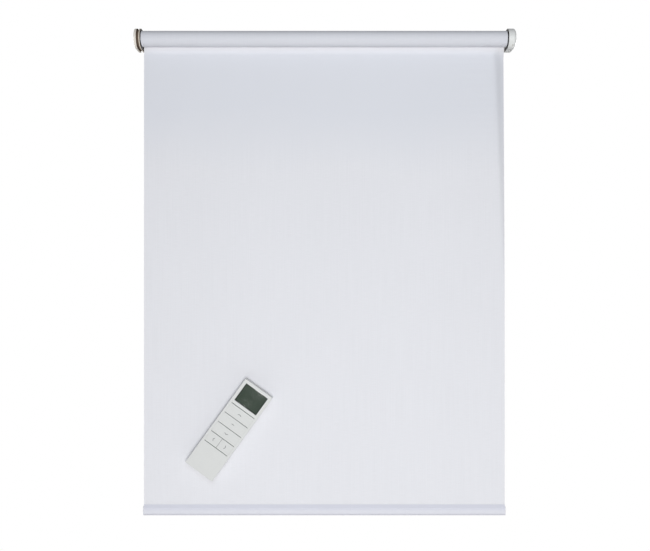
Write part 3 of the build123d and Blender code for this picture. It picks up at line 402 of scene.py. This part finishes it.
def clear_pane(name):
    """Clear pane with a black border printed round the display."""
    f = Finish(name, Specular_IOR_Level=0.2)
    printed = []
    for reach, size in zip(handset_axes(f), DISPLAY_SIZE):
        inset = size / 2 - BORDER
        printed.append(f.span(reach.absolute(), inset, inset + BORDER_EDGE, 0.0, 1.0))
    print_area = printed[0].math("MAXIMUM", printed[1])
    f.colour(f.mix(print_area, srgb(66, 76, 68), srgb(22, 24, 24)))
    join(f.tree, f.shader.inputs["Alpha"], f.span(print_area, 0.0, 1.0, PANE_HAZE, 1.0))
    f.roughness(f.span(f.noise(f.place(), 300.0), 0.3, 0.7, 0.04, 0.07))
    return f.material


def sleeve_print(name):
    """Shrink sleeve of a cell: glossy blue film with a faint cloud and no lettering."""
    f = Finish(name, Coat_Weight=0.5, Coat_Roughness=0.1)
    where = f.place()
    cloud = f.noise(where, 120.0)
    f.colour(f.mix(cloud, srgb(58, 82, 112), srgb(74, 100, 132)))
    f.roughness(f.span(cloud, 0.3, 0.7, 0.25, 0.35))
    f.bump(f.noise(where, 900.0), 0.00003, 0.3)
    return f.material


# Settings a user would change


class BlindSizes(bpy.types.PropertyGroup):
    """How the cloth falls, and how far away the camera stands"""

    curl_width: bpy.props.FloatProperty(
        name="Edge curl width", description="Width of the curled strip at the cloth's right edge",
        default=0.021, min=0.001, max=0.05, unit="LENGTH",
    )
    curl_depth: bpy.props.FloatProperty(
        name="Edge curl depth", description="How far the right edge turns towards the wall",
        default=0.0105, min=0.0, max=0.011, unit="LENGTH",
    )
    curl_drop: bpy.props.FloatProperty(
        name="Edge curl length", description="How far down the curl fades out",
        default=0.46, min=0.05, max=0.8, unit="LENGTH",
    )
    ripple: bpy.props.FloatProperty(
        name="Ripple", description="Depth of the faint cross ripples below the roll",
        default=0.0003, min=0.0, max=0.002, unit="LENGTH",
    )
    camera_distance: bpy.props.FloatProperty(
        name="Camera distance", description="From the camera to the cloth",
        default=1.475, min=0.5, max=5.0, unit="LENGTH",
    )


class BlindColours(bpy.types.PropertyGroup):
    """Colours of the cloth, the covers, the brackets and the handset"""

    cloth: bpy.props.FloatVectorProperty(
        name="Cloth", description="Colour of the coated cloth", subtype="COLOR", size=3,
        default=srgb(230, 230, 234), min=0.0, max=1.0,
    )
    covers: bpy.props.FloatVectorProperty(
        name="Covers", description="Colour of the bracket covers", subtype="COLOR", size=3,
        default=srgb(229, 230, 228), min=0.0, max=1.0,
    )
    brackets: bpy.props.FloatVectorProperty(
        name="Brackets", description="Colour of the painted steel", subtype="COLOR", size=3,
        default=srgb(214, 203, 188), min=0.0, max=1.0,
    )
    handset: bpy.props.FloatVectorProperty(
        name="Handset", description="Colour of the handset's shell and keys", subtype="COLOR", size=3,
        default=srgb(212, 213, 211), min=0.0, max=1.0,
    )


# Modelling helpers


def deselect():
    bpy.ops.object.select_all(action="DESELECT")


def pick(piece):
    """Select one object alone and make it the active one."""
    deselect()
    piece.select_set(True)
    bpy.context.view_layer.objects.active = piece


def title(piece, name):
    """Name an object and its mesh alike."""
    piece.name = name
    piece.data.name = name


def settle(piece):
    """Bring an object's place into its mesh."""
    pick(piece)
    bpy.ops.object.transform_apply(location=True, rotation=True, scale=True)
    return piece


def apply_modifier(piece, kind, **settings):
    """Add a modifier and apply it."""
    pick(piece)
    modifier = piece.modifiers.new(kind.title(), kind)
    for key, value in settings.items():
        setattr(modifier, key, value)
    bpy.ops.object.modifier_apply(modifier=modifier.name)
    return piece


def smooth(piece):
    """Shade a piece smooth, but for its sharp edges."""
    pick(piece)
    bpy.ops.object.shade_smooth_by_angle(angle=math.radians(35))


def wear(piece, material, body):
    """Give a piece its material and the body it rides on."""
    piece.data.materials.clear()
    piece.data.materials.append(material)
    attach(piece, body)


def cloth_grid(name, columns, rows, length, shape):
    """Sheet of cloth: shape(across, along) places each point of a grid; its UV map is in metres."""
    deselect()
    bpy.ops.mesh.primitive_grid_add(x_subdivisions=columns, y_subdivisions=rows, size=1.0)
    piece = bpy.context.object
    title(piece, name)
    laid = piece.data.uv_layers[0]
    laid.name = "Cloth"
    for loop, entry in zip(piece.data.loops, laid.data):
        point = piece.data.vertices[loop.vertex_index].co
        entry.uv = ((point.x + 0.5) * 2 * CLOTH_HALF, (point.y + 0.5) * length)
    for vertex in piece.data.vertices:
        vertex.co = shape(vertex.co.x * 2 * CLOTH_HALF, (vertex.co.y + 0.5) * length)
    return piece


def smoothstep(value):
    value = max(0.0, min(1.0, value))
    return value * value * (3 - 2 * value)


# Operators


class BLIND_OT_finishes(bpy.types.Operator):
    """Give every built piece its finish"""

    bl_idname = "blind.finishes"
    bl_label = "Finishes"

    def execute(self, context):
        colours = context.scene.blind_colours
        cloth = tuple(colours.cloth)
        covers = tuple(colours.covers)
        handset = tuple(colours.handset)
        # Dark colour for the painted shade on the inner faces at the plates
        inner_face_shade = srgb(34, 30, 27)
        bearing = srgb(214, 213, 208)
        dark = srgb(44, 45, 48)
        end_cap = srgb(222, 223, 228)
        FINISHES.update(
            blind_cloth=coated_cloth("coated_cloth", cloth, hanging=True),
            # Wound cloth: the same cloth in a darker copy, painted shade on the roll
            rolled_cloth=coated_cloth("rolled_cloth", times(cloth, 0.9, 0.91, 0.93)),
            hem_cloth=coated_cloth("hem_cloth", cloth, hem=True),
            # Left cover: painted shade on its neck; its rim's lighter tint is partly its own cream and partly
            # painted light
            necked_cover=necked_cover("necked_cover", srgb(238, 231, 221), srgb(96, 80, 65)),
            bracket_paint=painted_steel("bracket_paint", tuple(colours.brackets), inner_face_shade),
            cover_plastic=moulded_plastic(
                "cover_plastic", covers, rough=0.36, grain=1400.0, coat=0.1, inner_face_shade=inner_face_shade
            ),
            bearing_plastic=moulded_plastic("bearing_plastic", bearing, rough=0.42, grain=1100.0),
            dark_plastic=moulded_plastic("dark_plastic", dark, rough=0.45, grain=1000.0, depth=0.00005),
            tube_metal=drawn_metal("tube_metal", (0.80, 0.81, 0.82), rough=0.34, stretch=(12, 1800, 1800)),
            casing_metal=drawn_metal(
                "casing_metal", (0.66, 0.67, 0.68), rough=0.30, stretch=(12, 1800, 1800)
            ),
            pin_steel=drawn_metal("pin_steel", (0.72, 0.72, 0.73), rough=0.22, stretch=(1500, 90, 90)),
            cell_sleeve=sleeve_print("cell_sleeve"),
            board_green=circuit_board("circuit_board"),
            socket_metal=drawn_metal(
                "socket_metal", (0.70, 0.70, 0.71), rough=0.26, stretch=(90, 90, 1500)
            ),
            hem_metal=drawn_metal("hem_metal", (0.78, 0.78, 0.80), rough=0.36, stretch=(12, 1500, 1500)),
            end_cap_plastic=moulded_plastic("end_cap_plastic", end_cap, rough=0.42, grain=1300.0),
            handset_plastic=moulded_plastic(
                "handset_plastic", handset, rough=0.46, grain=1700.0, depth=0.00005
            ),
            key_plastic=moulded_plastic("key_plastic", handset, rough=0.50, grain=1500.0, depth=0.00005),
            mat_rubber=soft_rubber("mat_rubber", srgb(96, 98, 102)),
            pane_clear=clear_pane("pane_clear"),
            screen_face=display_face("screen_face"),
            coin_steel=drawn_metal("coin_steel", (0.76, 0.76, 0.77), rough=0.24, stretch=(700, 90, 700)),
            contact_metal=drawn_metal(
                "contact_metal", (0.80, 0.78, 0.70), rough=0.26, stretch=(600, 90, 600)
            ),
        )
        slots = {piece["node"]: piece["material_slot"] for piece in frame["record"]["subparts"]}
        for name, node in frame["nodes"].items():
            finish = "necked_cover" if name == "left_cover" else slots[name]
            node.data.materials.clear()
            node.data.materials.append(FINISHES[finish])
        return {"FINISHED"}


class BLIND_OT_cloth(bpy.types.Operator):
    """Hanging cloth, with its curled right edge and faint ripples"""

    bl_idname = "blind.cloth"
    bl_label = "Hanging cloth"

    def execute(self, context):
        sizes = context.scene.blind_sizes
        flat_start = 0.03
        ripple_reach = 0.16
        sway_turns = 14
        crease_middle = 0.28
        crease_spread = 0.05
        crease_turns = 520
        hem_reach = 0.05
        draw = random.Random(4)
        waves = [(draw.uniform(3, 9), draw.uniform(0, 6.28), draw.uniform(0.4, 1.0)) for _ in range(6)]
        slack = sum(depth for _, _, depth in waves)

        def shape(across, along):
            down = CLOTH_LENGTH - along
            fade = max(0.02, 1 - down / sizes.curl_drop)
            start = smoothstep(down / flat_start)
            edge = max(0.0, 1 - (CLOTH_HALF - across) / (sizes.curl_width * fade))
            curl = sizes.curl_depth * (edge + smoothstep(edge)) / 2 * fade * start
            near_top = math.exp(-down / ripple_reach) * start
            sway = sum(
                depth * math.sin(count * math.pi * across / CLOTH_HALF + turn + sway_turns * down)
                for count, turn, depth in waves
            )
            near_crease = math.exp(-((across - crease_middle) / crease_spread) ** 2)
            creases = math.sin(down * crease_turns) * near_crease
            near_hem = math.exp(-along / hem_reach) * smoothstep(along / 0.01)
            bow = (sway + slack) * 0.5 + creases + 1
            ripple = sizes.ripple * (near_top * bow + near_hem * sway * 0.35)
            return (across, CLOTH_Y + curl + ripple, CLOTH_HIGH.z - down)

        piece = cloth_grid("hanging_cloth", 160, 220, CLOTH_LENGTH, shape)
        apply_modifier(piece, "SOLIDIFY", thickness=CLOTH_THICKNESS, offset=0.0)
        smooth(piece)
        wear(piece, FINISHES["blind_cloth"], "mounting")
        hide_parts("blind_fabric")
        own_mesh(piece)
        return {"FINISHED"}


class BLIND_OT_roll(bpy.types.Operator):
    """Cloth wound on the tube in two turns, running off at the back"""

    bl_idname = "blind.roll"
    bl_label = "Wound cloth"

    def execute(self, context):
        last_radius = CLOTH_Y - AXIS_Y
        first_radius = last_radius - WRAPS * (CLOTH_THICKNESS + WRAP_GAP)
        turns = 2 * math.pi * WRAPS
        length = turns * (first_radius + last_radius) / 2

        def shape(across, along):
            share = along / length
            angle = -turns * share
            radius = first_radius + (last_radius - first_radius) * share
            drift = WRAP_DRIFT * math.sin(WRAP_DRIFT_WAVES * angle + 1.0) * across / CLOTH_HALF
            return (across - abs(drift), AXIS_Y + radius * math.cos(angle), radius * math.sin(angle))

        piece = cloth_grid("wound_cloth", 60, 96 * WRAPS, length, shape)
        apply_modifier(piece, "SOLIDIFY", thickness=CLOTH_THICKNESS, offset=0.0)
        smooth(piece)
        wear(piece, FINISHES["rolled_cloth"], "roller")
        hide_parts("wound_fabric")
        return {"FINISHED"}


class BLIND_OT_hem(bpy.types.Operator):
    """Pocket of cloth folded round the bar, welded above it"""

    bl_idname = "blind.hem"
    bl_label = "Hem"

    def execute(self, context):
        layer = CLOTH_THICKNESS / 2
        middle = (HEM_LOW.y + HEM_HIGH.y) / 2
        radius = (HEM_HIGH.y - HEM_LOW.y) / 2 - layer
        apex = HEM_HIGH.z - HEM_WELD
        bar_middle = (BAR_HIGH.z + BAR_LOW.z) / 2
        bar_straight = ((BAR_HIGH.z - BAR_LOW.z) - (BAR_HIGH.y - BAR_LOW.y)) / 2
        top = bar_middle + bar_straight
        low = bar_middle - bar_straight
        points = [(-layer, HEM_HIGH.z), (-layer, apex)]
        steps = 12
        tangent = math.asin(min(1.0, (radius - layer) / (apex - top)))
        for step in range(steps + 1):
            angle = tangent * (1 - step / steps)
            points.append((-radius * math.cos(angle), top + radius * math.sin(angle)))
        for step in range(2 * steps + 1):
            angle = math.pi * step / (2 * steps)
            points.append((-radius * math.cos(angle), low - radius * math.sin(angle)))
        for step in range(steps + 1):
            angle = tangent * step / steps
            points.append((radius * math.cos(angle), top + radius * math.sin(angle)))
        points += [(layer, apex), (layer, HEM_HIGH.z)]
        runs = [0.0]
        for first, second in zip(points, points[1:]):
            runs.append(runs[-1] + math.dist(first, second))
        length = runs[-1]

        def shape(across, along):
            index = next(i for i, run in enumerate(runs[1:]) if along <= run + 1e-9)
            share = (along - runs[index]) / (runs[index + 1] - runs[index])
            y, z = (a + (b - a) * share for a, b in zip(points[index], points[index + 1]))
            slack = smoothstep((z - low) / (top - low)) * (1 - smoothstep((z - top) / (apex - top)))
            wave = math.sin(across * HEM_WAVES[0]) * math.sin(across * HEM_WAVES[1] + 1)
            ripple = HEM_RIPPLE * slack * wave
            return (across, middle + y * (1 + ripple / radius), z)

        piece = cloth_grid("hem_cloth", 200, 120, length, shape)
        apply_modifier(piece, "SOLIDIFY", thickness=CLOTH_THICKNESS, offset=0.0)
        smooth(piece)
        wear(piece, FINISHES["hem_cloth"], "hem")
        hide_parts("hem_pocket")
        return {"FINISHED"}


class BLIND_OT_spring(bpy.types.Operator):
    """Coil spring behind the idle pin, built at one length; it does not shorten as the pin is pushed in"""

    bl_idname = "blind.spring"
    bl_label = "Pin spring"

    def execute(self, context):
        length = SPRING_HIGH.x - SPRING_LOW.x
        wire = SPRING_WIRE / 2
        coil_radius = (SPRING_HIGH.z - SPRING_LOW.z) / 2 - wire
        deselect()
        bpy.ops.mesh.primitive_circle_add(
            vertices=12, radius=wire, location=(wire, 0, coil_radius), rotation=(math.pi / 2, 0, 0)
        )
        spring = settle(bpy.context.object)
        title(spring, "pin_spring")
        pitch = (length - SPRING_WIRE) / SPRING_TURNS
        steps = 32
        apply_modifier(
            spring, "SCREW", axis="X", screw_offset=pitch, iterations=SPRING_TURNS, steps=steps,
            render_steps=steps,
        )
        bpy.ops.object.mode_set(mode="EDIT")
        bpy.ops.mesh.select_all(action="SELECT")
        bpy.ops.mesh.fill_holes(sides=0)
        bpy.ops.mesh.normals_make_consistent(inside=False)
        bpy.ops.object.mode_set(mode="OBJECT")
        spring.location = (SPRING_LOW.x, AXIS_Y, 0)
        smooth(settle(spring))
        wear(spring, FINISHES["pin_steel"], "roller")
        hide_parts("idle_spring")
        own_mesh(spring)
        return {"FINISHED"}


class BLIND_OT_pane(bpy.types.Operator):
    """Clear pane of the handset's screen, just off the display behind it"""

    bl_idname = "blind.pane"
    bl_label = "Screen pane"

    def execute(self, context):
        deselect()
        bpy.ops.mesh.primitive_cube_add(size=1)
        pane = bpy.context.object
        title(pane, "clear_pane")
        width, height = (size + 2 * PANE_MARGIN for size in DISPLAY_SIZE)
        thickness = PANE_HIGH.y - PANE_LOW.y - PANE_GAP
        pane.scale = (width, thickness, height)
        settle(pane)
        apply_modifier(pane, "BEVEL", width=PANE_GAP, segments=2)
        middle = (PANE_LOW + PANE_HIGH) / 2
        pane.rotation_euler = (0, HANDSET_TILT, 0)
        pane.location = (middle.x, PANE_LOW.y + thickness / 2, middle.z)
        smooth(settle(pane))
        wear(pane, FINISHES["pane_clear"], "handset")
        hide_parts("screen_window")
        return {"FINISHED"}


class BLIND_OT_signs(bpy.types.Operator):
    """Small printed arrows and the bar on the handset's keys"""

    bl_idname = "blind.signs"
    bl_label = "Key signs"

    def execute(self, context):
        ink = Finish("key_ink", Specular_IOR_Level=0.3)
        speckle = ink.noise(ink.place(), 1500.0)
        ink.colour(ink.mix(speckle, srgb(78, 79, 81), srgb(98, 99, 101)))
        ink.roughness(ink.span(speckle, 0.3, 0.7, 0.55, 0.7))
        signs = {"up_key": 0, "down_key": 180, "previous_key": -90, "next_key": 90, "stop_key": None}
        for key, turn in signs.items():
            sign = self.dash(DASH_SPAN) if turn is None else self.arrow(turn)
            title(sign, key.replace("key", "sign"))
            sign.rotation_euler = (0, HANDSET_TILT, 0)
            sign.location = self.face_middle(frame["nodes"][key])
            settle(sign)
            wear(sign, ink.material, key)
        return {"FINISHED"}

    def face_middle(self, key):
        """Middle of a key's outer face."""
        points = [vertex.co for vertex in key.data.vertices]
        front = min(point.y for point in points)
        face = [point for point in points if point.y < front + 0.0001]
        low = Vector([min(point[axis] for point in face) for axis in range(3)])
        high = Vector([max(point[axis] for point in face) for axis in range(3)])
        return (low + high) / 2

    def dash(self, length, centre=(0, 0, 0), turn=0):
        """One printed stroke with rounded corners."""
        deselect()
        upright = (math.radians(90), math.radians(turn), 0)
        bpy.ops.mesh.primitive_plane_add(size=1, location=centre, rotation=upright)
        stroke = bpy.context.object
        stroke.scale = (length, SIGN_STROKE, 1)
        settle(stroke)
        apply_modifier(stroke, "BEVEL", affect="VERTICES", width=SIGN_STROKE * 0.3, segments=3)
        return apply_modifier(stroke, "SOLIDIFY", thickness=SIGN_DEPTH, offset=0.0)

    def arrow(self, turn):
        """Two strokes that meet in a point, turned clockwise from pointing up."""
        length = SIGN_SPAN / 2 / math.cos(math.radians(SIGN_SLOPE)) + SIGN_STROKE / 2
        left = self.dash(length, (-SIGN_SPAN / 4, 0, 0), -SIGN_SLOPE)
        right = self.dash(length, (SIGN_SPAN / 4, 0, 0), SIGN_SLOPE)
        apply_modifier(left, "BOOLEAN", operation="UNION", solver="EXACT", object=right)
        bpy.data.objects.remove(right)
        apply_modifier(left, "WELD", merge_threshold=SIGN_DEPTH / 20)
        left.rotation_euler = (0, math.radians(turn), 0)
        return settle(left)


class BLIND_OT_stage(bpy.types.Operator):
    """Floor, lamps, plain surroundings and the camera"""

    bl_idname = "blind.stage"
    bl_label = "Studio"

    def execute(self, context):
        scene = context.scene
        scene.view_settings.view_transform = "Standard"
        self.floor()
        self.surroundings(scene)
        self.lamps()
        self.camera(scene)
        return {"FINISHED"}

    def floor(self):
        """Round pale floor that fades into the white surroundings at its rim."""
        deselect()
        bpy.ops.mesh.primitive_circle_add(
            radius=FLOOR_RADIUS, vertices=96, fill_type="NGON", location=FLOOR_MIDDLE
        )
        floor = settle(bpy.context.object)
        floor.name = "floor"
        pale = Finish("floor_pale", Roughness=0.85)
        x, y, _ = pale.axes(pale.place())
        y = y - FLOOR_MIDDLE[1]
        reach = (x * x + y * y).math("SQRT")
        pale.colour(pale.mix(pale.noise(pale.place(), 3.0), (0.84, 0.84, 0.84), (0.88, 0.88, 0.88)))
        white = pale.tree.nodes.new("ShaderNodeEmission")
        fade = pale.tree.nodes.new("ShaderNodeMixShader")
        camera = pale.node("ShaderNodeLightPath")
        outwards = pale.span(reach, *FLOOR_FADE, 0.0, 1.0)
        join(pale.tree, fade.inputs[0], outwards + camera * (1 - outwards) * 0.62)
        pale.tree.links.new(pale.shader.outputs[0], fade.inputs[1])
        pale.tree.links.new(white.outputs[0], fade.inputs[2])
        pale.tree.links.new(fade.outputs[0], pale.tree.nodes["Material Output"].inputs["Surface"])
        floor.data.materials.append(pale.material)

    def surroundings(self, scene):
        """World that is white to the camera and to reflections, and softer as a light."""
        world = bpy.data.worlds.new("studio")
        world.use_nodes = True
        scene.world = world
        tree = world.node_tree
        tree.nodes.clear()
        rays = tree.nodes.new("ShaderNodeLightPath")
        camera = Wire(tree, rays.outputs["Is Camera Ray"])
        glossy = Wire(tree, rays.outputs["Is Glossy Ray"])
        clear = Wire(tree, rays.outputs["Is Transmission Ray"])
        seen = (camera + glossy * 0.35 + clear).math("MINIMUM", 1.0)
        white = tree.nodes.new("ShaderNodeBackground")
        white.inputs["Strength"].default_value = 1.0
        white.inputs["Color"].default_value = (1, 1, 1, 1)
        soft = tree.nodes.new("ShaderNodeBackground")
        soft.inputs["Strength"].default_value = 0.13
        soft.inputs["Color"].default_value = (0.97, 0.98, 1.0, 1)
        choose = tree.nodes.new("ShaderNodeMixShader")
        tree.links.new(seen.socket, choose.inputs[0])
        tree.links.new(soft.outputs[0], choose.inputs[1])
        tree.links.new(white.outputs[0], choose.inputs[2])
        out = tree.nodes.new("ShaderNodeOutputWorld")
        tree.links.new(choose.outputs[0], out.inputs[0])

    def lamp(self, name, location, target, size, watts, tint=(1, 1, 1)):
        """Round area lamp that shines at the target."""
        data = bpy.data.lights.new(name, "AREA")
        data.shape = "DISK"
        data.size = size
        data.energy = watts
        data.color = tint
        lamp = bpy.data.objects.new(name, data)
        bpy.context.scene.collection.objects.link(lamp)
        lamp.location = location
        lamp.rotation_euler = (Vector(target) - Vector(location)).to_track_quat("-Z", "Y").to_euler()

    def lamps(self):
        """Two lamps in front, and one behind at each side."""
        self.lamp("front_lamp", (0.1, -2.5, -0.6), (0, 0, -0.5), 0.85, 38.8, (1.0, 0.995, 0.99))
        self.lamp("high_lamp", (0.2, -2.2, 0.5), (0, 0, -0.2), 1.0, 9.0, (0.8, 0.9, 1.0))
        for side in (-1, 1):
            self.lamp("back_lamp", (side * 1.7, 1.7, 0.1), (0, 0, -0.35), 1.0, 26.0)

    def camera(self, scene):
        """Place the camera so that the cloth's edges and the roll lie where the photograph has them."""
        distance = scene.blind_sizes.camera_distance
        metres_per_px = 2 * CLOTH_HALF / (CLOTH_RIGHT_PX - CLOTH_LEFT_PX)
        focal_px = distance / metres_per_px
        data = bpy.data.cameras.new("camera")
        data.sensor_width = 36.0
        data.lens = focal_px / PHOTO_WIDTH * data.sensor_width
        camera = bpy.data.objects.new("camera", data)
        scene.collection.objects.link(camera)
        cloth_middle_px = (CLOTH_LEFT_PX + CLOTH_RIGHT_PX) / 2
        aside = (PHOTO_WIDTH / 2 - cloth_middle_px) * metres_per_px
        roll_distance = distance - (CLOTH_Y - AXIS_Y)
        drop = (PHOTO_HEIGHT / 2 - ROLL_MIDDLE_PX) * metres_per_px * roll_distance / distance
        camera.location = (aside, CLOTH_Y - distance, -drop)
        camera.rotation_euler = (math.radians(90), 0, 0)
        data.clip_start = 0.01
        scene.camera = camera


class BLIND_PT_panel(bpy.types.Panel):
    """Sizes, colours and steps of the roller blind"""

    bl_idname = "BLIND_PT_panel"
    bl_label = "Roller blind"
    bl_space_type = "VIEW_3D"
    bl_region_type = "UI"
    bl_category = "Roller blind"

    def draw(self, context):
        for group in (context.scene.blind_sizes, context.scene.blind_colours):
            for name in group.__annotations__:
                self.layout.prop(group, name)
        for step in STEPS:
            self.layout.operator(step.bl_idname)


STEPS = (
    BLIND_OT_finishes, BLIND_OT_cloth, BLIND_OT_roll, BLIND_OT_hem, BLIND_OT_spring, BLIND_OT_pane,
    BLIND_OT_signs, BLIND_OT_stage,
)
CLASSES = (BlindSizes, BlindColours, *STEPS, BLIND_PT_panel)


def register():
    for cls in CLASSES:
        bpy.utils.register_class(cls)
    bpy.types.Scene.blind_sizes = bpy.props.PointerProperty(type=BlindSizes)
    bpy.types.Scene.blind_colours = bpy.props.PointerProperty(type=BlindColours)


def unregister():
    del bpy.types.Scene.blind_colours
    del bpy.types.Scene.blind_sizes
    for cls in reversed(CLASSES):
        bpy.utils.unregister_class(cls)


def main():
    register()
    bpy.ops.blind.finishes()
    bpy.ops.blind.cloth()
    bpy.ops.blind.roll()
    bpy.ops.blind.hem()
    bpy.ops.blind.spring()
    bpy.ops.blind.pane()
    bpy.ops.blind.signs()
    bpy.ops.blind.stage()


if __name__ == "__main__":
    main()
